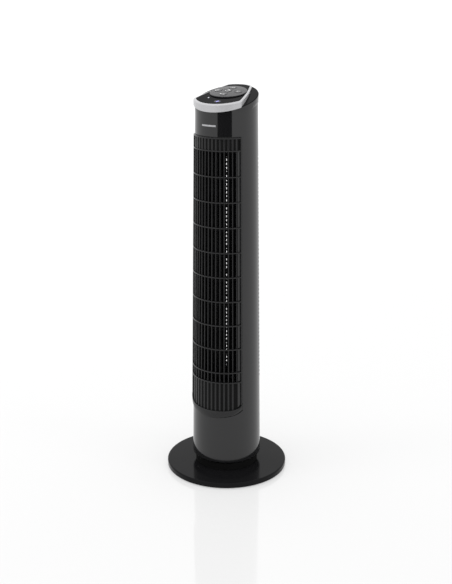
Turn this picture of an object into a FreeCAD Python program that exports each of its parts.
import FreeCAD, Part
import math
import os

# Tower fan, modelled piece by piece in millimetres.
# Frame: +Z up, the floor at z = 0, the swivel axis on Z, the air outlet towards -Y.
# Angles named *_DEG on the column are measured round Z from the front (-Y) towards +X.

V = FreeCAD.Vector
UP = V(0, 0, 1)

# ---------------------------------------------------------------- driving dimensions, mm and degrees
# base
BASE_R = 120.0            # radius of the foot disc
BASE_H = 12.0             # top of the disc above the floor
BASE_WALL = 2.5
FOOT_STANDOFF = 1.5       # the disc's underside above the floor
FOOT_R = 8.0
FOOT_T = 3.5
FOOT_COUNT = 6
FOOT_RING_R = 103.0
NECK_R = 62.0             # dark pedestal between the disc and the column
NECK_H = 13.5
NECK_WALL = 3.0
POST_R = 18.0             # swivel post
POST_BORE_R = 8.0
GLIDE_R = 50.0            # mean radius of the glide ring
GLIDE_W = 8.0
GLIDE_T = 2.0
# column
COLUMN_GAP = 1.5          # dark gap between the neck and the column
FLOOR_T = 3.0             # floor plate inside the column's foot
AXIAL_PLAY = 0.3          # ring gear above the swivel boss
BODY_R = 68.2             # column radius at its foot
BODY_R_TOP = 58.27        # column radius at the collar seam
COLUMN_H = 696.6          # column foot to the seam, on the axis
BODY_EDGE_R = 5.5         # rounded foot edge
WALL = 2.6
LIP_T = 3.5
LIP_W = 9.6
SIDE_SEAM_DEG = 105.0     # front and rear shells meet here
SEAM_GROOVE = 0.7
# collar, bezel and panel
SEAM_SLOPE = 0.28         # rise of the seam plane per mm towards the rear
RIM_SLOPE = 0.323
PANEL_SLOPE = 0.226
RIM_RISE = 13.2           # seam to rim plane, on the axis
PANEL_RISE = 8.0          # rim plane to panel plane, on the axis
COLLAR_T = 2.2
COLLAR_EDGE_R = 2.0
SPIGOT_DEPTH = 7.0
SPIGOT_T = 2.5
SPIGOT_GAP = 0.7
BEZEL_OVERHANG = 3.0      # bezel front beyond the column radius
BEZEL_WALL = 3.4
BEZEL_CORNER_DEG = 55.0
BEZEL_CORNER_R = 4.0
BEZEL_TAIL_HALF = 25.3
BEZEL_ARM_BULGE = 2.6
BEZEL_EDGE = 1.8
PANEL_T = 2.2
PANEL_RECESS = 0.5
# front grille
GRILLE_PROUD = 2.4
GRILLE_SEAT = 1.4
GRILLE_GAP = 1.2
GRILLE_HALF_DEG = 57.5
GRILLE_TOP_DROP = 51.6    # seam plane down to the grille's top edge
GRILLE_FOOT_RISE = 98.4   # column foot up to the grille's lowest point
GRILLE_FOOT_ARC = 10.2    # how far the lower edge climbs at its ends
GRILLE_CORNER_R = 22.0
FRAME_SIDE_DEG = 2.4
FRAME_TOP = 2.6
FRAME_FOOT = 12.5
RING_COUNT = 10
RING_TOP_DROP = 24.4      # grille top down to the first ring
RING_FOOT_RISE = 73.5     # grille's lowest point up to the last, extra ring
RING_EXTRA = 20.3         # the extra ring below the even ones
RING_T = 2.5
BAR_GAPS = 15
OPEN_GAP_W = 4.5
BLIND_GAP_W = 3.0
BAR_DEPTH_IN = 4.0
OPENING_HALF_DEG = 50.0
# rear intake
SLOT_PITCH = 8.0
SLOT_H = 4.2
SLOT_FOOT_RISE = 167.0    # column foot up to the first slot
SLOT_TOP_DROP = 92.0      # seam plane down to the last slot
SLOT_EDGE_DEG = 108.0
SPINE_DEG = 23.0          # spines each side of the rear centre line
SPINE_W = 3.5
# impeller and duct
IMPELLER_R = 38.0
BLADE_IN_R = 28.0
BLADE_COUNT = 30
BLADE_T = 0.9
BLADE_SWEEP_DEG = 8.0
BLADE_PHASE_DEG = -4.25
IMPELLER_DISC_T = 1.6
IMPELLER_SEGMENTS = 9
SHAFT_R = 4.0
RUN_CLEAR = 0.05          # radial clearance of every running fit
TIP_CLEAR = 3.0
DECK_T = 3.0
DECK_BOSS = 4.0
DUCT_WALL = 1.6
HUB_R = 12.0
# main motor
STATOR_R = 38.0
STATOR_BORE_R = 21.0
STATOR_H = 20.0
AIR_GAP = 0.4
BELL_H = 16.0
BELL_T = 1.6
BUSH_R = 7.0
BUSH_L = 12.0
MOTOR_EAR_R = 46.0
GROMMET_R = 5.5
# swing drive
GEAR_MODULE = 1.0
GEAR_TEETH = 54
PINION_TEETH = 18
GEAR_T = 6.0
BACKLASH = 0.3
SWING_MOTOR_R = 24.75
SWING_MOTOR_T = 15.0
SWING_EAR_X = 30.0
SWING_SHAFT_R = 2.5
# keys and electronics
PAD_HALF_X = 36.0
PAD_HALF_Y = 31.0
PAD_CENTRE_Y = 7.0
PAD_EDGE_H = 1.4
PAD_DOME_H = 3.2
PAD_LEDGE = 3.5
KEY_PITCH = 21.0
KEY_PITCH_Y = 18.0
KEY_CENTRE_Y = 7.0
KEY_R = 7.4
KEY_CLEAR = 0.35
KEY_PROUD = 0.4
KEY_TRAVEL = 0.8
KEY_STEM_R = 2.5
BOARD_DEPTH = 9.0
BOARD_T = 1.6
SWITCH_W = 6.0
SWITCH_H = 1.7
PLUNGER_R = 1.75
PLUNGER_H = 0.9
DISPLAY_X = 4.8
DISPLAY_Y = -42.7
DISPLAY_W = 12.0
DISPLAY_L = 6.5
IR_X = -22.5
IR_Y = -27.7
IR_R = 2.4
# fasteners and small parts
SCREW_R = 1.5
SCREW_HEAD_R = 3.0
SCREW_HEAD_H = 2.0
BOSS_R = 4.5
SHELL_BOSS_X = 52.0
SHELL_BOSS_Y = 15.0
GLAND_RISE = 22.0
GLAND_R = 6.0
GLAND_FLANGE_R = 9.0
GLAND_BORE_R = 3.6
GLAND_L = 14.0
COLLAR_SCREW_DEG = 30.0   # each side of the rear centre line
COLLAR_SCREW_DROP = 4.0
HARNESS_R = 2.0
HARNESS_DEG = -160.0      # clear of the shell bosses and of the motor's ears
HARNESS_CLIP_H = 6.0
CLIP_WALL = 1.2
CAPACITOR = (15.0, 34.0, 17.0)
CAPACITOR_AT = (38.0, -8.0)
TERMINAL = (28.0, 12.0, 9.0)
TERMINAL_Y = 38.0
TERMINAL_PITCH = 9.0
TERMINAL_HOLE_R = 2.4
POWER_BOARD_X = 43.5
POWER_BOARD_Y = (-22.0, 28.0)
POWER_BOARD_H = 52.0
RELAY = (15.0, 12.0, 18.0)
FILTER_BLOCK = (12.0, 18.0, 14.0)
CHOKE_R = 5.5
CHOKE_L = 9.0
FUSE_R = 3.0
FUSE_L = 20.0

# ---------------------------------------------------------------- levels worked out from them
Z_NECK_TOP = BASE_H + NECK_H
Z_COLUMN = Z_NECK_TOP + COLUMN_GAP
Z_FLOOR = Z_COLUMN + LIP_T
Z_FLOOR_TOP = Z_FLOOR + FLOOR_T
Z_BOSS_TOP = Z_FLOOR_TOP + 1.5
Z_POST_TOP = Z_BOSS_TOP + AXIAL_PLAY
Z_GEAR_TOP = Z_POST_TOP + GEAR_T
Z_SWING_MOTOR = Z_GEAR_TOP + SCREW_HEAD_H + 1.7
Z_SEAM = Z_COLUMN + COLUMN_H
Z_RIM = Z_SEAM + RIM_RISE
Z_PANEL = Z_RIM + PANEL_RISE
Z_GRILLE_TOP = Z_SEAM - GRILLE_TOP_DROP
Z_GRILLE_FOOT = Z_COLUMN + GRILLE_FOOT_RISE
Z_RING_TOP = Z_GRILLE_TOP - RING_TOP_DROP
Z_RING_FOOT = Z_GRILLE_FOOT + RING_FOOT_RISE
RING_PITCH = (Z_RING_TOP - Z_RING_FOOT - RING_EXTRA) / (RING_COUNT - 1)
Z_LOWER_DECK = Z_RING_FOOT - 11.0
Z_UPPER_DECK = Z_RING_TOP + 3.0
Z_IMPELLER = Z_LOWER_DECK + DECK_T + 9.0
Z_IMPELLER_TOP = Z_UPPER_DECK - 9.0
Z_STATOR = Z_LOWER_DECK - 10.0 - BELL_H - STATOR_H
GEAR_DISTANCE = GEAR_MODULE * (GEAR_TEETH + PINION_TEETH) / 2.0
RIM_R = BODY_R_TOP + 1.2
ISLAND_R = BODY_R_TOP + BEZEL_OVERHANG
TOP = Z_PANEL + 60.0      # above everything, for cutting tools


def body_r(z):
    """Radius of the tapered column's outer surface at height z."""
    share = (z - Z_COLUMN) / COLUMN_H
    return BODY_R + (BODY_R_TOP - BODY_R) * share


# ---------------------------------------------------------------- small builders
def cylinder(r, z0, z1, x=0.0, y=0.0):
    return Part.makeCylinder(r, z1 - z0, V(x, y, z0), UP)


def tube(r_out, r_in, z0, z1, x=0.0, y=0.0):
    return cylinder(r_out, z0, z1, x, y).cut(cylinder(r_in, z0, z1, x, y))


def box(x0, x1, y0, y1, z0, z1):
    return Part.makeBox(abs(x1 - x0), abs(y1 - y0), z1 - z0, V(min(x0, x1), min(y0, y1), z0))


def cone(offset, z0, z1):
    """The column's tapered solid between two heights, its surface moved out by offset."""
    return Part.makeCone(body_r(z0) + offset, body_r(z1) + offset, z1 - z0, V(0, 0, z0), UP)


def skin(offset_out, offset_in, z0, z1):
    """A tapered wall that follows the column's surface."""
    return cone(offset_out, z0, z1).cut(cone(offset_in, z0, z1))


def sector(deg0, deg1, r, z0, z1):
    """A slice of a cylinder from one column angle to another."""
    slice_ = Part.makeCylinder(r, z1 - z0, V(0, 0, z0), UP, deg1 - deg0)
    slice_.rotate(V(0, 0, 0), UP, deg0 - 90.0)
    return slice_


def at(deg, r, z=0.0):
    """The point at a column angle, radius and height."""
    a = math.radians(deg)
    return V(r * math.sin(a), -r * math.cos(a), z)


def prism(points, z0, z1):
    """A straight prism over a closed outline in plan."""
    wire = Part.makePolygon([V(x, y, z0) for x, y in points + points[:1]])
    return Part.Face(wire).extrude(V(0, 0, z1 - z0))


def above_plane(z_axis, slope):
    """Everything above a plane that climbs towards the rear."""
    side = 400.0
    block = Part.makeBox(2 * side, 2 * side, side, V(-side, -side, 0))
    block.rotate(V(0, 0, 0), V(1, 0, 0), math.degrees(math.atan(slope)))
    block.translate(V(0, 0, z_axis))
    return block


def joined(pieces):
    """One solid from pieces that overlap or share faces."""
    solid = pieces[0].fuse(pieces[1:]) if len(pieces) > 1 else pieces[0]
    return solid.removeSplitter()


def screw(head, direction, length, r=SCREW_R, head_r=SCREW_HEAD_R, head_h=SCREW_HEAD_H):
    """A pan-head screw: head seat at 'head', shank running along 'direction'."""
    unit = V(direction).normalize()
    shank = Part.makeCylinder(r, length, head, unit)
    cap = Part.makeCylinder(head_r, head_h, head - unit * head_h, unit)
    driver = Part.makeBox(head_r * 1.2, 0.8, head_h * 0.6, V(-head_r * 0.6, -0.4, 0))
    cross = driver.copy()
    cross.rotate(V(0, 0, 0), UP, 90)
    recess = driver.fuse(cross)
    turn = FreeCAD.Rotation(UP, unit)
    recess.Placement = FreeCAD.Placement(head - unit * head_h, turn)
    return shank.fuse(cap).removeSplitter().cut(recess)


def group(shapes):
    return Part.makeCompound(shapes)


# ---------------------------------------------------------------- base
def neck_screw_points():
    return [at(45 + 90 * k, NECK_R - 12.0) for k in range(4)]


def foot_points():
    return [at(360.0 * k / FOOT_COUNT, FOOT_RING_R) for k in range(FOOT_COUNT)]


def base_disc():
    disc = cylinder(BASE_R, FOOT_STANDOFF, BASE_H)
    rims = [e for e in disc.Edges if abs(e.BoundBox.ZMin - e.BoundBox.ZMax) < 1e-6]
    top = [e for e in rims if e.BoundBox.ZMin > BASE_H - 0.1]
    low = [e for e in rims if e.BoundBox.ZMin < FOOT_STANDOFF + 0.1]
    disc = disc.makeFillet(2.6, top).makeFillet(1.2, low)
    hollow_top = BASE_H - BASE_WALL
    hollow = cylinder(BASE_R - BASE_WALL - 2.0, FOOT_STANDOFF, hollow_top)
    keep = [tube(NECK_R + 4.0, NECK_R + 1.5, FOOT_STANDOFF, hollow_top)]
    for k in range(12):
        rib = box(NECK_R + 2.0, BASE_R - BASE_WALL - 1.0, -1.0, 1.0, FOOT_STANDOFF, hollow_top)
        rib.rotate(V(0, 0, 0), UP, 15.0 + 30.0 * k)
        keep.append(rib)
    for p in foot_points():
        keep.append(cylinder(FOOT_R + 2.5, FOOT_STANDOFF, hollow_top, p.x, p.y))
    for p in neck_screw_points():
        keep.append(cylinder(BOSS_R + 1.5, BASE_H - 5.5, hollow_top, p.x, p.y))
    disc = disc.cut(hollow.cut(keep))
    for p in foot_points():
        disc = disc.cut(cylinder(FOOT_R, FOOT_STANDOFF, FOOT_T, p.x, p.y))
    for p in neck_screw_points():
        disc = disc.cut(cylinder(SCREW_R + 0.2, 0, BASE_H, p.x, p.y))
    return disc.cut(cylinder(POST_BORE_R, 0, BASE_H + 1))


def rubber_feet():
    return group([cylinder(FOOT_R, 0, FOOT_T, p.x, p.y) for p in foot_points()])


def base_neck():
    wall = tube(NECK_R, NECK_R - NECK_WALL, BASE_H, Z_NECK_TOP)
    lid = cylinder(NECK_R, Z_NECK_TOP - NECK_WALL, Z_NECK_TOP)
    post = cylinder(POST_R, BASE_H, Z_POST_TOP)
    z_glide = Z_FLOOR - GLIDE_T
    pad = tube(GLIDE_R + GLIDE_W / 2, GLIDE_R - GLIDE_W / 2, Z_NECK_TOP, z_glide)
    pieces = [wall, lid, post, pad]
    for p in neck_screw_points():
        pieces.append(cylinder(BOSS_R, BASE_H, Z_NECK_TOP, p.x, p.y))
    neck = joined(pieces)
    holes = [cylinder(SCREW_R, BASE_H, BASE_H + 10.0, p.x, p.y) for p in neck_screw_points()]
    holes += [cylinder(SCREW_R, Z_POST_TOP - 9.0, Z_POST_TOP, p.x, p.y) for p in gear_screw_points()]
    holes.append(cylinder(POST_BORE_R, BASE_H, Z_POST_TOP))
    return neck.cut(holes)


def neck_screws():
    return group([screw(V(p.x, p.y, BASE_H - 5.5), UP, 13.5) for p in neck_screw_points()])


def glide_ring():
    return tube(GLIDE_R + GLIDE_W / 2, GLIDE_R - GLIDE_W / 2, Z_FLOOR - GLIDE_T, Z_FLOOR)


# ---------------------------------------------------------------- swing drive
def gear_outline(teeth, clearance):
    """Points of an involute spur gear, with the backlash taken off each flank."""
    pitch_r = GEAR_MODULE * teeth / 2.0
    base_r = pitch_r * math.cos(math.radians(20.0))
    root_r = pitch_r - 1.25 * GEAR_MODULE
    tip_r = pitch_r + 0.95 * GEAR_MODULE

    def involute(r):
        roll = math.sqrt(max((r / base_r) ** 2 - 1.0, 0.0))
        return roll - math.atan(roll)

    half = math.pi / (2.0 * teeth) - clearance / (2.0 * pitch_r) + involute(pitch_r)
    radii = [root_r, max(base_r, root_r), pitch_r - 0.4, pitch_r + 0.3, tip_r]
    points = []
    for k in range(teeth):
        middle = 2.0 * math.pi * k / teeth
        rising = [(r, middle - half + involute(max(r, base_r))) for r in radii]
        falling = [(r, 2 * middle - a) for r, a in reversed(rising)]
        points += [(r * math.cos(a), r * math.sin(a)) for r, a in rising + falling]
    return [p for n, p in enumerate(points) if math.dist(p, points[n - 1]) > 1e-6]


def gear_screw_points():
    return [at(60.0 + 120.0 * k, (POST_R + POST_BORE_R) / 2.0) for k in range(3)]


def ring_gear():
    gear = prism(gear_outline(GEAR_TEETH, BACKLASH / 2), Z_POST_TOP, Z_GEAR_TOP)
    gear.rotate(V(0, 0, 0), UP, -90.0 + 180.0 / GEAR_TEETH)
    holes = [cylinder(SCREW_R + 0.1, Z_POST_TOP, Z_GEAR_TOP, p.x, p.y) for p in gear_screw_points()]
    return gear.cut(holes + [cylinder(POST_BORE_R, Z_POST_TOP, Z_GEAR_TOP)])


def gear_screws():
    return group([screw(V(p.x, p.y, Z_GEAR_TOP), -UP, GEAR_T + 8.0) for p in gear_screw_points()])


def swing_pinion():
    pinion = prism(gear_outline(PINION_TEETH, BACKLASH / 2), Z_POST_TOP, Z_GEAR_TOP)
    pinion.rotate(V(0, 0, 0), UP, 90.0)
    pinion = pinion.cut(cylinder(SWING_SHAFT_R, Z_POST_TOP, Z_GEAR_TOP))
    shaft = cylinder(SWING_SHAFT_R, Z_POST_TOP, Z_SWING_MOTOR + 6.0)
    hub = tube(SWING_SHAFT_R + 2.0, SWING_SHAFT_R, Z_GEAR_TOP, Z_GEAR_TOP + 2.0)
    pinion = joined([pinion, shaft, hub])
    pinion.translate(V(0, -GEAR_DISTANCE, 0))
    return pinion


def swing_ear_points():
    return [V(side * SWING_EAR_X, -GEAR_DISTANCE, 0) for side in (-1, 1)]


def swing_motor():
    z0 = Z_SWING_MOTOR
    can = cylinder(SWING_MOTOR_R, z0, z0 + SWING_MOTOR_T, 0, -GEAR_DISTANCE)
    rim = [e for e in can.Edges if e.BoundBox.ZMin > z0 + SWING_MOTOR_T - 0.1]
    can = can.makeFillet(1.2, rim)
    ears = box(-SWING_EAR_X, SWING_EAR_X, -GEAR_DISTANCE - 4, -GEAR_DISTANCE + 4, z0, z0 + 1.2)
    tips = [cylinder(4.0, z0, z0 + 1.2, p.x, p.y) for p in swing_ear_points()]
    motor = joined([can, ears] + tips)
    holes = [cylinder(SCREW_R + 0.2, z0, z0 + 1.2, p.x, p.y) for p in swing_ear_points()]
    bore = cylinder(SWING_SHAFT_R + RUN_CLEAR, z0, z0 + 7.0, 0, -GEAR_DISTANCE)
    return motor.cut(holes + [bore])


def swing_motor_screws():
    head = Z_SWING_MOTOR + 1.2
    return group([screw(V(p.x, p.y, head), -UP, 9.0) for p in swing_ear_points()])


# ---------------------------------------------------------------- column floor and shells
def floor_screw_points():
    return [at(45.0 + 90.0 * k, BODY_R - LIP_W + 1.5) for k in range(4)]


def column_floor():
    r = body_r(Z_FLOOR) - WALL - 0.3
    pieces = [cylinder(r, Z_FLOOR, Z_FLOOR_TOP), cylinder(POST_R + 5.0, Z_FLOOR, Z_BOSS_TOP)]
    for p in swing_ear_points():
        pieces.append(cylinder(4.0, Z_FLOOR_TOP, Z_SWING_MOTOR, p.x, p.y))
    for p in floor_screw_points():
        pieces.append(cylinder(BOSS_R - 0.5, Z_FLOOR_TOP, Z_FLOOR_TOP + 6.0, p.x, p.y))
    floor = joined(pieces)
    holes = [cylinder(POST_R + RUN_CLEAR, Z_FLOOR, Z_BOSS_TOP)]
    holes += [cylinder(SCREW_R, Z_SWING_MOTOR - 9.0, Z_SWING_MOTOR, p.x, p.y) for p in swing_ear_points()]
    holes += [cylinder(SCREW_R, Z_FLOOR, Z_FLOOR + 8.0, p.x, p.y) for p in floor_screw_points()]
    return floor.cut(holes)


def floor_screws():
    z = Z_COLUMN + SCREW_HEAD_H
    return group([screw(V(p.x, p.y, z), UP, LIP_T + 5.0) for p in floor_screw_points()])


def whole_shell():
    """Front and rear shells in one: a tapered tube with an inward lip at its foot."""
    outer = cone(0, Z_COLUMN, Z_SEAM + 30.0)
    foot = [e for e in outer.Edges if e.BoundBox.ZMax < Z_COLUMN + 0.1 and e.Length > 50.0]
    outer = outer.makeFillet(BODY_EDGE_R, foot)
    shell = outer.cut([cone(-WALL, Z_FLOOR, Z_SEAM + 31.0), cylinder(BODY_R - LIP_W, 0, Z_FLOOR + 1)])
    for p in floor_screw_points():
        hole = cylinder(SCREW_R + 0.2, Z_COLUMN, Z_FLOOR, p.x, p.y)
        sink = cylinder(SCREW_HEAD_R + 0.3, Z_COLUMN, Z_COLUMN + SCREW_HEAD_H, p.x, p.y)
        shell = shell.cut(hole.fuse(sink))
    return shell.cut(above_plane(Z_SEAM, SEAM_SLOPE))


def side_groove(deg):
    ring = cone(5.0, Z_COLUMN, Z_SEAM + 30.0).cut(cone(-SEAM_GROOVE, Z_COLUMN, Z_SEAM + 30.0))
    return ring.common(sector(deg - 0.35, deg + 0.35, BODY_R + 10, Z_COLUMN, Z_SEAM + 30.0))


def shell_boss_levels():
    return [Z_FLOOR_TOP + 24.0, Z_LOWER_DECK - 30.0, Z_UPPER_DECK + 16.0, Z_SEAM - 26.0]


def shell_boss_points():
    return [(side * SHELL_BOSS_X * body_r(z) / BODY_R, z) for side in (-1, 1) for z in shell_boss_levels()]


def boss(x, z, y0, y1, r):
    return Part.makeCylinder(r, y1 - y0, V(x, y0, z), V(0, 1, 0))


def grille_outline(grow, foot_lift, corner_r):
    """The grille's front outline as a prism along Y, grown all round by 'grow'."""
    half = (BODY_R + GRILLE_PROUD) * math.sin(math.radians(GRILLE_HALF_DEG)) + grow
    low = Z_GRILLE_FOOT + foot_lift - grow
    climb = GRILLE_FOOT_ARC
    top = Z_GRILLE_TOP + 60.0
    arc = Part.Arc(V(-half, 0, low + climb), V(0, 0, low), V(half, 0, low + climb)).toShape()
    lines = [Part.makeLine(V(half, 0, low + climb), V(half, 0, top)),
             Part.makeLine(V(half, 0, top), V(-half, 0, top)),
             Part.makeLine(V(-half, 0, top), V(-half, 0, low + climb))]
    block = Part.Face(Part.Wire([arc] + lines)).extrude(V(0, -BODY_R - 20, 0))
    corners = [e for e in block.Edges if abs(e.BoundBox.ZMax - low - climb) < 0.01 and e.Length > BODY_R
               and e.BoundBox.XMax - e.BoundBox.XMin < 0.01]
    return block.makeFillet(corner_r, corners)


def front_shell():
    shell = whole_shell().common(sector(-SIDE_SEAM_DEG, SIDE_SEAM_DEG, BODY_R + 10, 0, TOP))
    shell = shell.cut([side_groove(-SIDE_SEAM_DEG), side_groove(SIDE_SEAM_DEG)])
    gap_deg = math.degrees(GRILLE_GAP / BODY_R_TOP)
    half = GRILLE_HALF_DEG + gap_deg
    low, high = Z_GRILLE_FOOT - 10.0, Z_GRILLE_TOP + GRILLE_GAP
    recess = skin(6.0, -GRILLE_SEAT, low, high).common(sector(-half, half, BODY_R + 20, low, high))
    recess = recess.common(grille_outline(GRILLE_GAP, 0.0, GRILLE_CORNER_R + GRILLE_GAP))
    opening = sector(-OPENING_HALF_DEG, OPENING_HALF_DEG, BODY_R + 20, Z_RING_FOOT, Z_RING_TOP)
    shell = shell.cut([recess, opening])
    bosses = []
    for x, z in shell_boss_points():
        post = boss(x, z, -2.0, SHELL_BOSS_Y, BOSS_R)
        reach = box(x, x + math.copysign(20.0, x), -1.0, 1.0 + SHELL_BOSS_Y / 2, z - 1.5, z + 1.5)
        bosses.append(post.fuse(reach).common(cone(-WALL / 2, z - 10, z + 10)))
    shell = joined([shell] + bosses)
    for x, z in shell_boss_points():
        shell = shell.cut(boss(x, z, SHELL_BOSS_Y - 10.0, SHELL_BOSS_Y, SCREW_R))
    return shell


def slot_cutters():
    """The rear intake slots, in three fields between two spines."""
    z0 = Z_COLUMN + SLOT_FOOT_RISE
    z1 = Z_SEAM - SLOT_TOP_DROP
    count = int(round((z1 - z0) / SLOT_PITCH))
    half_spine = math.degrees(SPINE_W / 2.0 / BODY_R)
    edges = [SLOT_EDGE_DEG, 180.0 - SPINE_DEG, 180.0 + SPINE_DEG, 360.0 - SLOT_EDGE_DEG]
    cutters = []
    for k in range(count):
        z = z0 + k * SLOT_PITCH
        for n in range(3):
            start = edges[n] + (half_spine if n > 0 else 0.0)
            stop = edges[n + 1] - (half_spine if n < 2 else 0.0)
            cutters.append(sector(start, stop, BODY_R + 20, z, z + SLOT_H))
    return cutters


def rear_shell():
    edge = SIDE_SEAM_DEG
    shell = whole_shell().common(sector(edge, 360.0 - edge, BODY_R + 10, 0, TOP))
    bosses = []
    for x, z in shell_boss_points():
        post = boss(x, z, SHELL_BOSS_Y, BODY_R, BOSS_R)
        bosses.append(post.common(cone(-WALL / 2, z - 10, z + 10)))
    shell = joined([shell] + bosses)
    tools = [side_groove(edge), side_groove(-edge)]
    for x, z in shell_boss_points():
        tools.append(boss(x, z, SHELL_BOSS_Y, SHELL_BOSS_Y + 4.0, SCREW_R + 0.2))
        tools.append(boss(x, z, SHELL_BOSS_Y + 3.0, BODY_R + 5.0, SCREW_HEAD_R + 0.2))
    for p in collar_screw_points():
        tools.append(Part.makeCylinder(SCREW_R + 0.2, 20.0, V(p) - radial(p) * 10.0, radial(p)))
    z = Z_COLUMN + GLAND_RISE
    tools.append(Part.makeCylinder(GLAND_R, 30.0, V(0, BODY_R - 15.0, z), V(0, 1, 0)))
    return shell.cut(tools).cut(group(slot_cutters()))


def shell_screws():
    y = SHELL_BOSS_Y + 3.0
    return group([screw(V(x, y, z), V(0, -1, 0), 12.0) for x, z in shell_boss_points()])


# ---------------------------------------------------------------- front grille
def ring_levels():
    even = [Z_RING_TOP - k * RING_PITCH for k in range(RING_COUNT)]
    return even + [Z_RING_FOOT]


def window_rows():
    """Height span and gap width of each row of windows, top row first."""
    rings = ring_levels()
    rows = [(rings[0] + RING_T / 2, Z_GRILLE_TOP - FRAME_TOP, BLIND_GAP_W)]
    for upper, lower in zip(rings, rings[1:]):
        rows.append((lower + RING_T / 2, upper - RING_T / 2, OPEN_GAP_W))
    rows.append((Z_GRILLE_FOOT, rings[-1] - RING_T / 2, BLIND_GAP_W))
    return rows


def grille_windows():
    field = grille_outline(-FRAME_FOOT + 9.0, FRAME_FOOT - 3.5, GRILLE_CORNER_R - 2.0)
    inner_half = GRILLE_HALF_DEG - FRAME_SIDE_DEG
    pitch = 2.0 * inner_half / BAR_GAPS
    windows = []
    for low, high, width in window_rows():
        half = math.degrees(width / 2.0 / body_r((low + high) / 2))
        cells = []
        for n in range(BAR_GAPS):
            middle = -inner_half + (n + 0.5) * pitch
            cells.append(sector(middle - half, middle + half, BODY_R + 20, low, high))
        if low < Z_GRILLE_FOOT + 1.0:
            cells = [cell.common(field) for cell in cells]
        windows += cells
    return group(windows)


def front_grille():
    low, high = Z_GRILLE_FOOT - 1.0, Z_GRILLE_TOP
    half = GRILLE_HALF_DEG
    plate = skin(GRILLE_PROUD, -GRILLE_SEAT, low, high).common(sector(-half, half, BODY_R + 20, low, high))
    plate = plate.common(grille_outline(0.0, 0.0, GRILLE_CORNER_R))
    inner_half = OPENING_HALF_DEG - 0.4
    z0, z1 = Z_RING_FOOT + 0.5, Z_RING_TOP - 0.5
    bars = skin(-GRILLE_SEAT + 0.01, -BAR_DEPTH_IN, z0, z1)
    bars = bars.common(sector(-inner_half, inner_half, BODY_R, z0, z1))
    return joined([plate, bars]).cut(grille_windows())


# ---------------------------------------------------------------- collar, bezel and panel
def collar_screw_points():
    r = body_r(Z_SEAM)
    points = []
    for deg in (180.0 - COLLAR_SCREW_DEG, 180.0 + COLLAR_SCREW_DEG):
        rise = -SEAM_SLOPE * r * math.cos(math.radians(deg))
        points.append(at(deg, r, Z_SEAM + rise - COLLAR_SCREW_DROP))
    return points


def radial(p):
    return V(p.x, p.y, 0).normalize()


def collar_outside():
    """The collar's outer form before its slanted cuts: it widens a little towards the rim."""
    drop, rise = 30.0, 30.0
    return Part.makeCone(BODY_R_TOP, RIM_R, drop + rise, V(0, 0, Z_SEAM - drop + RIM_RISE / 2), UP)


def collar():
    ring = collar_outside().common(above_plane(Z_SEAM, SEAM_SLOPE)).cut(above_plane(Z_RIM, RIM_SLOPE))
    brow = [e for e in ring.Edges if e.Length > BODY_R_TOP * 4 and e.CenterOfMass.z > Z_RIM - 1.0]
    ring = ring.makeFillet(COLLAR_EDGE_R, brow)
    spigot_r = BODY_R_TOP - WALL - SPIGOT_GAP
    spigot = cylinder(spigot_r, Z_SEAM - 40.0, Z_SEAM + 40.0)
    spigot = spigot.common(above_plane(Z_SEAM - SPIGOT_DEPTH, SEAM_SLOPE))
    spigot = spigot.cut(above_plane(Z_SEAM + 2.0, SEAM_SLOPE))
    hollow = cylinder(spigot_r - SPIGOT_T, Z_SEAM - 40.0, TOP).cut(above_plane(Z_RIM - COLLAR_T, RIM_SLOPE))
    whole = ring.fuse(spigot).cut([hollow, island(BEZEL_WALL + 2.0)])
    for p in collar_screw_points():
        whole = whole.cut(Part.makeCylinder(SCREW_R, 20.0, V(p) - radial(p) * 12.0, radial(p)))
    return whole


def collar_screws():
    return group([screw(V(p), -radial(p), 6.0) for p in collar_screw_points()])


def island(inset):
    """Upright prism with the bezel's plan, drawn in by 'inset': round front, slim arms, narrow tail."""
    r = ISLAND_R - inset
    a = math.radians(BEZEL_CORNER_DEG)
    tail_r = RIM_R - 2.7
    tail_y = math.sqrt(tail_r ** 2 - BEZEL_TAIL_HALF ** 2)
    slant = math.atan2(ISLAND_R * math.sin(a) - BEZEL_TAIL_HALF, ISLAND_R * math.cos(a) + tail_y)
    shift = inset / math.cos(slant)
    corner = V(r * math.sin(a) - inset * 0.35, -r * math.cos(a) + inset * 0.1, 0)
    tail = V(BEZEL_TAIL_HALF - shift + inset * math.tan(slant), tail_y - inset, 0)
    normal = V(tail.y - corner.y, corner.x - tail.x, 0).normalize()
    middle = (corner + tail) * 0.5 + normal * BEZEL_ARM_BULGE
    left_corner, left_middle, left_tail = [V(-p.x, p.y, 0) for p in (corner, middle, tail)]
    edges = [Part.Arc(left_corner, V(0, -r, 0), corner).toShape(),
             Part.Arc(corner, middle, tail).toShape(),
             Part.Arc(tail, V(0, tail_r - inset, 0), left_tail).toShape(),
             Part.Arc(left_tail, left_middle, left_corner).toShape()]
    block = Part.Face(Part.Wire(edges)).extrude(V(0, 0, TOP))
    upright = [e for e in block.Edges if e.Length > TOP - 1.0]
    return block.makeFillet(max(BEZEL_CORNER_R - inset * 0.4, 1.2), upright)


def panel_place(shape):
    """Move a shape drawn on the panel plane (its own z = 0) to the slanted panel."""
    turn = FreeCAD.Rotation(V(1, 0, 0), math.degrees(math.atan(PANEL_SLOPE)))
    shape.Placement = FreeCAD.Placement(V(0, 0, Z_PANEL), turn).multiply(shape.Placement)
    return shape


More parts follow.
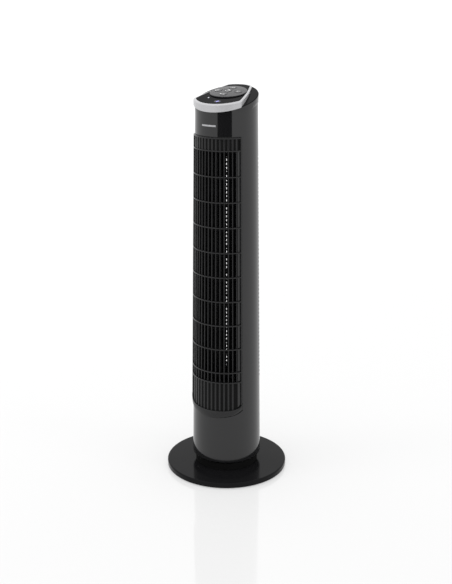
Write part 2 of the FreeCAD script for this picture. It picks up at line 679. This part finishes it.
def bezel():
    outer = island(0.0).common(above_plane(Z_RIM, RIM_SLOPE)).cut(above_plane(Z_PANEL, PANEL_SLOPE))
    normal = V(0, -PANEL_SLOPE, 1).normalize()
    top = [f for f in outer.Faces if f.normalAt(0, 0).getAngle(normal) < 0.01]
    outer = outer.makeChamfer(BEZEL_EDGE, top[0].OuterWire.Edges)
    well = island(BEZEL_WALL).cut(panel_place(box(-90, 90, -90, 90, -90, -PANEL_RECESS - PANEL_T)))
    hole = island(BEZEL_WALL + 2.0)
    return outer.cut([well, hole])


def pad_oval(grow, w0, w1):
    """An oval prism on the panel plane."""
    ellipse = Part.Ellipse(V(PAD_HALF_X + grow, 0, 0), V(0, PAD_HALF_Y + grow, 0), V(0, 0, 0))
    face = Part.Face(Part.Wire([ellipse.toShape()]))
    prism_ = face.extrude(V(0, 0, w1 - w0))
    prism_.translate(V(0, PAD_CENTRE_Y, w0))
    return prism_


def dome(lift):
    """The ball whose upper skin is the pad's domed face, raised by 'lift'."""
    rise = PAD_DOME_H - PAD_EDGE_H
    r = (PAD_HALF_X ** 2 + rise ** 2) / (2.0 * rise)
    return Part.makeSphere(r + lift, V(0, PAD_CENTRE_Y, PAD_DOME_H - r))


def key_spots():
    c = KEY_CENTRE_Y
    return {"key_centre": (0.0, c), "key_left": (-KEY_PITCH, c), "key_right": (KEY_PITCH, c),
            "key_front": (0.0, c - KEY_PITCH_Y), "key_rear": (0.0, c + KEY_PITCH_Y)}


def panel_holes():
    window = box(DISPLAY_X - DISPLAY_W / 2, DISPLAY_X + DISPLAY_W / 2,
                 DISPLAY_Y - DISPLAY_L / 2, DISPLAY_Y + DISPLAY_L / 2, -10, 5)
    return [window, cylinder(IR_R, -10, 5, IR_X, IR_Y), pad_oval(-PAD_LEDGE, -10, 5)]


def control_panel():
    low, high = -PANEL_RECESS - PANEL_T, -PANEL_RECESS
    slab = panel_place(box(-90, 90, -90, 90, low, high))
    plate = island(BEZEL_WALL + 0.15).common(slab)
    posts = [cylinder(3.0, -BOARD_DEPTH, low, x, y) for x, y in board_posts()]
    holes = panel_holes() + [cylinder(SCREW_R, -BOARD_DEPTH, low, x, y) for x, y in board_posts()]
    plate = plate.fuse([panel_place(p) for p in posts]).removeSplitter()
    return plate.cut([panel_place(h) for h in holes])


def key_frame():
    low = -PANEL_RECESS
    pad = pad_oval(0.0, low, 20.0).common(dome(0.0))
    brow = [e for e in pad.Edges if e.BoundBox.ZMin > low + 0.2 and e.Length > PAD_HALF_X]
    pad = pad.makeFillet(0.6, brow)
    skirt = pad_oval(-PAD_LEDGE - 0.15, low - 1.2, low).cut(pad_oval(-PAD_LEDGE - 1.1, low - 2, low))
    pad = pad.fuse(skirt).removeSplitter()
    holes = [cylinder(KEY_R, low - 5, 20, x, y) for x, y in key_spots().values()]
    return panel_place(pad.cut(holes))


def key(x, y):
    """A round cap under the pad's dome, with a flange that keeps it in and a stem for its switch."""
    low = -PANEL_RECESS
    cap = cylinder(KEY_R - KEY_CLEAR, low, 20.0, x, y).common(dome(KEY_PROUD))
    cap = cap.cut(cylinder(KEY_R - 2.0, low, low + 1.0, x, y))
    flange = tube(KEY_R + 0.8, KEY_R - 2.0, low - 1.0, low, x, y)
    stem = cylinder(KEY_STEM_R, -BOARD_DEPTH + SWITCH_H + PLUNGER_H + KEY_TRAVEL + 0.1, low + 1.0, x, y)
    return panel_place(joined([cap, flange, stem]))


def display_window():
    gap = 0.1
    pane = box(DISPLAY_X - DISPLAY_W / 2 + gap, DISPLAY_X + DISPLAY_W / 2 - gap,
               DISPLAY_Y - DISPLAY_L / 2 + gap, DISPLAY_Y + DISPLAY_L / 2 - gap,
               -PANEL_RECESS - PANEL_T, -PANEL_RECESS)
    return panel_place(pane)


def display_led():
    low = -BOARD_DEPTH
    block = box(DISPLAY_X - 5.0, DISPLAY_X + 5.0, DISPLAY_Y - 2.6, DISPLAY_Y + 2.6, low, low + 6.0)
    return panel_place(block)


def ir_window():
    low, high = -PANEL_RECESS - PANEL_T, -PANEL_RECESS
    return panel_place(cylinder(IR_R - 0.1, low, high, IR_X, IR_Y))


def ir_receiver():
    low = -BOARD_DEPTH
    body = box(IR_X - 3.0, IR_X + 3.0, IR_Y - 2.0, IR_Y + 2.0, low, low + 3.5)
    lens = Part.makeSphere(1.8, V(IR_X, IR_Y, low + 3.5))
    return panel_place(body.fuse(lens).removeSplitter())


def board_posts():
    return [(-31.0, -15.0), (31.0, -15.0), (-21.0, 34.0), (21.0, 34.0)]


def control_board():
    low, high = -BOARD_DEPTH - BOARD_T, -BOARD_DEPTH
    outline = [(-26, -48), (26, -48), (36, -24), (36, -4), (25, 38), (-25, 38), (-36, -4), (-36, -24)]
    board = prism([(x, y) for x, y in outline], low, high)
    holes = [cylinder(SCREW_R + 0.2, low, high, x, y) for x, y in board_posts()]
    return panel_place(board.cut(holes))


def tact_switches():
    low = -BOARD_DEPTH
    switches = []
    for x, y in key_spots().values():
        half = SWITCH_W / 2
        body = box(x - half, x + half, y - half, y + half, low, low + SWITCH_H)
        plunger = cylinder(PLUNGER_R, low + SWITCH_H, low + SWITCH_H + PLUNGER_H, x, y)
        switches.append(panel_place(body.fuse(plunger).removeSplitter()))
    return group(switches)


def board_screws():
    low = -BOARD_DEPTH - BOARD_T
    return group([panel_place(screw(V(x, y, low), UP, BOARD_T + 4.0)) for x, y in board_posts()])


# ---------------------------------------------------------------- duct
def deck(z, hole_r):
    r = body_r(z + DECK_T) - WALL - 0.4
    plate = cylinder(r, z, z + DECK_T)
    return plate.cut([cylinder(hole_r, z, z + DECK_T), wire_notch(z)])


def wire_notch(z):
    p = harness_point()
    return cylinder(HARNESS_R + 0.6, z, z + DECK_T, p[0], p[1])


def lower_deck():
    plate = deck(Z_LOWER_DECK, HUB_R + 1.5)
    z = Z_LOWER_DECK - DECK_BOSS
    bosses = [cylinder(GROMMET_R, z, Z_LOWER_DECK, p.x, p.y) for p in motor_ear_points()]
    holes = [cylinder(SCREW_R, z, Z_LOWER_DECK + DECK_T, p.x, p.y) for p in motor_ear_points()]
    return joined([plate] + bosses).cut(holes)


def upper_deck():
    z = Z_UPPER_DECK
    plate = deck(z, SHAFT_R + 1.0)
    cup = tube(BUSH_R + 5.5, BUSH_R + 3.0, z + DECK_T, z + DECK_T + BUSH_L)
    return joined([plate, cup])


def curved_wall(points, thick, z0, z1):
    """A wall along an arc through three plan points, thickened outwards from the axis."""
    inner = [V(p.x, p.y, z0) for p in points]
    outer = [p + V(p.x, p.y, 0).normalize() * thick for p in inner]
    edges = [Part.Arc(*inner).toShape(), Part.makeLine(inner[2], outer[2]),
             Part.Arc(*reversed(outer)).toShape(), Part.makeLine(outer[0], inner[0])]
    return Part.Face(Part.Wire(edges)).extrude(V(0, 0, z1 - z0))


def scroll_wall():
    z0, z1 = Z_LOWER_DECK + DECK_T, Z_UPPER_DECK
    near = IMPELLER_R + TIP_CLEAR
    far = body_r(z1) - WALL - DUCT_WALL - 1.2
    run = [at(-140.0, near), at(-98.0, (near + far) / 2 - 1.0), at(-56.0, far)]
    return curved_wall(run, DUCT_WALL, z0, z1)


def cutoff_tongue():
    z0, z1 = Z_LOWER_DECK + DECK_T, Z_UPPER_DECK
    near = IMPELLER_R + TIP_CLEAR
    far = body_r(z1) - WALL - 1.2
    t = DUCT_WALL
    nose, lip, root = at(78.0, near), at(56.0, far), at(108.0, far)
    nose_in = at(78.0, near + 2.4 * t)
    lip_in, root_in = at(58.5, far), at(105.5, far)
    outline = [(p.x, p.y) for p in (nose, lip, lip_in, nose_in, root_in, root)]
    return prism(outline, z0, z1)


# ---------------------------------------------------------------- impeller
def blade_faces(z):
    """Curved blade sections, swept forward from the inner to the outer radius."""
    half = math.degrees(BLADE_T / 2.0 / IMPELLER_R)
    mid_r = (BLADE_IN_R + IMPELLER_R) / 2.0
    faces = []
    for k in range(BLADE_COUNT):
        start = BLADE_PHASE_DEG + 360.0 * k / BLADE_COUNT
        run = [(start, BLADE_IN_R + 0.4), (start + BLADE_SWEEP_DEG * 0.35, mid_r),
               (start + BLADE_SWEEP_DEG, IMPELLER_R - 0.4)]
        left = [at(a - half, r, z) for a, r in run]
        right = [at(a + half, r, z) for a, r in run]
        edges = [Part.Arc(*left).toShape(), Part.makeLine(left[2], right[2]),
                 Part.Arc(*reversed(right)).toShape(), Part.makeLine(right[0], left[0])]
        faces.append(Part.Face(Part.Wire(edges)))
    return faces


def impeller():
    z0, z1 = Z_IMPELLER, Z_IMPELLER_TOP
    t = IMPELLER_DISC_T
    span = (z1 - z0 - t) / IMPELLER_SEGMENTS
    parts = [tube(IMPELLER_R, BLADE_IN_R - 1.0, z0 + k * span, z0 + k * span + t)
             for k in range(1, IMPELLER_SEGMENTS)]
    parts.append(tube(IMPELLER_R, SHAFT_R, z0, z0 + t))
    parts.append(tube(IMPELLER_R, SHAFT_R, z1 - t, z1))
    parts.append(tube(HUB_R, SHAFT_R, z0 - 7.0, z0 + 12.0))
    parts.append(tube(HUB_R - 3.0, SHAFT_R, z1 - 12.0, z1))
    for k in range(IMPELLER_SEGMENTS):
        low = z0 + k * span + t
        parts += [f.extrude(V(0, 0, span - t)) for f in blade_faces(low)]
    drum = joined(parts)
    hole = Part.makeCylinder(SCREW_R, HUB_R, V(0, 0, z0 - 3.5), V(0, -1, 0))
    return drum.cut(hole)


def hub_set_screw():
    z = Z_IMPELLER - 3.5
    return Part.makeCylinder(SCREW_R, HUB_R - SHAFT_R - 0.6, V(0, -SHAFT_R, z), V(0, -1, 0))


def stub_shaft():
    return cylinder(SHAFT_R, Z_IMPELLER_TOP - 12.0, Z_UPPER_DECK + DECK_T + BUSH_L - 1.0)


def upper_bush():
    z0, z1 = Z_UPPER_DECK + DECK_T, Z_UPPER_DECK + DECK_T + BUSH_L
    return tube(BUSH_R, SHAFT_R + RUN_CLEAR, z0, z1)


def bush_rubber():
    z0, z1 = Z_UPPER_DECK + DECK_T, Z_UPPER_DECK + DECK_T + BUSH_L
    return tube(BUSH_R + 3.0, BUSH_R, z0, z1)


# ---------------------------------------------------------------- main motor
def motor_ear_points():
    return [at(45.0 + 90.0 * k, MOTOR_EAR_R) for k in range(4)]


def bell_screw_points():
    return [at(45.0 + 90.0 * k, STATOR_R - 4.0) for k in range(4)]


def motor_stator():
    stack = tube(STATOR_R, STATOR_BORE_R, Z_STATOR, Z_STATOR + STATOR_H)
    return stack.cut([cylinder(SCREW_R + 0.1, Z_STATOR, Z_STATOR + STATOR_H, p.x, p.y)
                      for p in bell_screw_points()])


def motor_winding():
    r_out, r_in, rise = STATOR_R - 8.0, STATOR_BORE_R + 2.0, 8.0
    rings = []
    for z in (Z_STATOR - rise, Z_STATOR + STATOR_H):
        coil = tube(r_out, r_in, z, z + rise)
        edges = [e for e in coil.Edges if e.BoundBox.ZMax - e.BoundBox.ZMin < 1e-6 and e.Length > 10]
        rings.append(coil.makeFillet(2.2, edges))
    return group(rings)


def bell(z_open, direction, ears):
    """A cup-shaped end bell that opens on the stator and holds a shaft bush."""
    h = BELL_H
    cup = cylinder(STATOR_R, 0, h).cut(cylinder(STATOR_R - BELL_T - 6.0, 0, h - BELL_T))
    cup = cup.fuse(cylinder(BUSH_R + 2.5, h - BELL_T - 5.0, h + 4.0))
    for k in range(8):
        vent = box(STATOR_R - 14.0, STATOR_R - 8.5, -3.0, 3.0, h - BELL_T - 1, h + 1)
        vent.rotate(V(0, 0, 0), UP, 45.0 * k)
        cup = cup.cut(vent)
    for p in (motor_ear_points() if ears else []):
        arm = box(STATOR_R - 3.0, MOTOR_EAR_R, -5.0, 5.0, h - 2.0, h)
        arm.rotate(V(0, 0, 0), UP, math.degrees(math.atan2(p.y, p.x)))
        cup = cup.fuse([arm, cylinder(GROMMET_R + 2.0, h - 2.0, h, p.x, p.y)])
    for p in (motor_ear_points() if ears else []):
        cup = cup.cut(cylinder(GROMMET_R - 1.5, h - 3.0, h + 1, p.x, p.y))
    drill_r = SCREW_R + 0.1 if not ears else SCREW_R
    for p in bell_screw_points():
        cup = cup.cut(cylinder(drill_r, 0, h - BELL_T if ears else h, p.x, p.y))
    cup = cup.cut(cylinder(BUSH_R, h + 4.0 - BUSH_L, h + 4.0))
    cup = cup.removeSplitter()
    if direction < 0:
        cup = cup.mirror(V(0, 0, 0), UP)
    cup.translate(V(0, 0, z_open))
    return cup


def motor_upper_bell():
    return bell(Z_STATOR + STATOR_H, 1, True)


def motor_lower_bell():
    return bell(Z_STATOR, -1, False)


def bell_screws():
    z = Z_STATOR - BELL_H
    return group([screw(V(p.x, p.y, z), UP, 2 * BELL_H + STATOR_H - 6.0) for p in bell_screw_points()])


def motor_bushes():
    top = Z_STATOR + STATOR_H + BELL_H + 4.0
    low = Z_STATOR - BELL_H - 4.0
    r_in = SHAFT_R + RUN_CLEAR
    return group([tube(BUSH_R, r_in, top - BUSH_L, top), tube(BUSH_R, r_in, low, low + BUSH_L)])


def motor_rotor():
    z0 = Z_STATOR - 1.0
    return tube(STATOR_BORE_R - AIR_GAP, SHAFT_R, z0, z0 + STATOR_H + 2.0)


def motor_shaft():
    return cylinder(SHAFT_R, Z_STATOR - BELL_H - 2.0, Z_IMPELLER + 12.0)


def motor_grommets():
    z0 = Z_STATOR + STATOR_H + BELL_H
    z1 = Z_LOWER_DECK - DECK_BOSS
    rings = []
    for p in motor_ear_points():
        cushion = cylinder(GROMMET_R, z0, z1, p.x, p.y)
        rings.append(cushion.cut(cylinder(SCREW_R + 0.3, z0, z1, p.x, p.y)))
    return group(rings)


def motor_mount_screws():
    z = Z_STATOR + STATOR_H + BELL_H - 2.0
    length = Z_LOWER_DECK + DECK_T - z
    screws = []
    for p in motor_ear_points():
        screws.append(screw(V(p.x, p.y, z), UP, length, SCREW_R, GROMMET_R - 0.5))
    return group(screws)


# ---------------------------------------------------------------- electrics in the foot of the column
def harness_point():
    p = at(HARNESS_DEG, body_r(Z_SEAM) - WALL - HARNESS_R - CLIP_WALL - 0.4)
    return p.x, p.y


def run_capacitor():
    z = Z_FLOOR_TOP
    x, y = CAPACITOR_AT
    can = box(x, x + CAPACITOR[0], y, y + CAPACITOR[1], z, z + CAPACITOR[2])
    return can.makeFillet(1.5, [e for e in can.Edges if e.BoundBox.ZMax > z + 1.0])


def terminal_block():
    z = Z_FLOOR_TOP
    width, depth, height = TERMINAL
    body = box(-width / 2, width / 2, TERMINAL_Y, TERMINAL_Y + depth, z, z + height)
    for x in (-TERMINAL_PITCH, 0.0, TERMINAL_PITCH):
        body = body.cut(cylinder(TERMINAL_HOLE_R, z + 4.0, z + height, x, TERMINAL_Y + depth / 2))
    return body


def power_board():
    x, z = -POWER_BOARD_X, Z_FLOOR_TOP
    return box(x - BOARD_T, x, POWER_BOARD_Y[0], POWER_BOARD_Y[1], z, z + POWER_BOARD_H)


def power_board_parts():
    x, z = -POWER_BOARD_X, Z_FLOOR_TOP
    front, rear = POWER_BOARD_Y
    relay = box(x, x + RELAY[0], front + 4.0, front + 4.0 + RELAY[1], z + 24.0, z + 24.0 + RELAY[2])
    block = box(x, x + FILTER_BLOCK[0], rear - 22.0, rear - 22.0 + FILTER_BLOCK[1],
                z + 26.0, z + 26.0 + FILTER_BLOCK[2])
    choke = Part.makeCylinder(CHOKE_R, CHOKE_L, V(x, rear - 10.0, z + 14.0), V(1, 0, 0))
    fuse = Part.makeCylinder(FUSE_R, FUSE_L, V(x + FUSE_R, front + 8.0, z + 16.0), V(0, 1, 0))
    return group([relay, block, choke, fuse])


def wire_harness():
    """The lead from the foot of the column up to the control board, clipped beside the duct."""
    x, y = harness_point()
    return cylinder(HARNESS_R, Z_FLOOR_TOP + 54.0, Z_SEAM - 16.0, x, y)


def harness_clips():
    """Clips that hold the lead to the rear shell's inner wall, above and below the duct."""
    x, y = harness_point()
    clips = []
    for z in (Z_LOWER_DECK - 12.0, Z_UPPER_DECK + 30.0):
        clips.append(tube(HARNESS_R + CLIP_WALL, HARNESS_R, z, z + HARNESS_CLIP_H, x, y))
    return group(clips)


def cord_gland():
    z = Z_COLUMN + GLAND_RISE
    y = body_r(z)
    out = V(0, 1, 0)
    barrel = Part.makeCylinder(GLAND_R, GLAND_L, V(0, y - GLAND_L + 3.0, z), out)
    flange = Part.makeCylinder(GLAND_FLANGE_R, 2.5, V(0, y + 0.3, z), out)
    lip = Part.makeCylinder(GLAND_R + 1.2, 2.0, V(0, y - WALL - 2.8, z), out)
    body = joined([barrel, flange, lip])
    return body.cut(Part.makeCylinder(GLAND_BORE_R, GLAND_L + 6.0, V(0, y - GLAND_L, z), out))


# ---------------------------------------------------------------- output
BUILDERS = [base_disc, rubber_feet, base_neck, neck_screws, glide_ring, ring_gear, gear_screws,
            swing_pinion, swing_motor, swing_motor_screws, column_floor, floor_screws,
            front_shell, rear_shell, shell_screws, front_grille,
            collar, collar_screws, bezel, control_panel, key_frame, display_window, display_led,
            ir_window, ir_receiver, control_board, tact_switches, board_screws,
            lower_deck, upper_deck, scroll_wall, cutoff_tongue,
            impeller, hub_set_screw, stub_shaft, upper_bush, bush_rubber,
            motor_stator, motor_winding, motor_upper_bell, motor_lower_bell, bell_screws,
            motor_bushes, motor_rotor, motor_shaft, motor_grommets, motor_mount_screws,
            run_capacitor, terminal_block, power_board, power_board_parts,
            wire_harness, harness_clips, cord_gland]


def main():
    os.makedirs("parts", exist_ok=True)
    nodes = {builder.__name__: builder for builder in BUILDERS}
    for name, spot in key_spots().items():
        nodes[name] = lambda spot=spot: key(*spot)
    for name, builder in nodes.items():
        shape = builder()
        solids = shape.Solids
        if not solids or not shape.isValid():
            print("check", name, len(solids), shape.isValid())
        shape.exportStep(f"parts/{name}.step")
        low, high = shape.BoundBox.ZMin, shape.BoundBox.ZMax
        volume = shape.Volume / 1000.0
        print(f"{name:20s} solids {len(solids):3d} z {low:7.1f} {high:7.1f} volume {volume:8.2f} cm3")


main()
